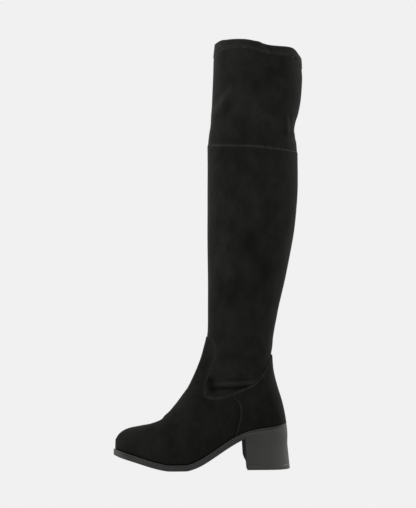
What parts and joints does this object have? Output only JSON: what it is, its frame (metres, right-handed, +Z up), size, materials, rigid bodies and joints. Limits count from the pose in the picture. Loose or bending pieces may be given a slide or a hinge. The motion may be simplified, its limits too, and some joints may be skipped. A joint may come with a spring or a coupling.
{
  "type": "thigh high boot",
  "caption": "Black suede thigh high pull-on boot with a block heel, round toe, shin tab, knee seam, folded collar hem and an open hollow shaft and foot",
  "frame": {"origin": "centre of the heel's flat ground face, on the floor", "axes": "+Z up along the leg, toe towards -X, outer side of the foot towards -Y, inner side towards +Y"},
  "size_m": [0.2721, 0.1126, 0.6152],
  "materials": {
    "suede": "matt black suede with a short nap",
    "sole_rubber": "smooth dark grey rubber, faint gloss",
    "heel_rubber": "smooth dark grey rubber, faint gloss",
    "insole_board": "matt dark sock lining"
  },
  "bodies": {
    "root": {"upper": "suede", "counter": "suede", "shaft": "suede", "thigh_panel": "suede", "collar_band": "suede", "outsole": "sole_rubber", "heel": "heel_rubber", "top_lift": "heel_rubber", "insole": "insole_board"}
  },
  "joints": []
}
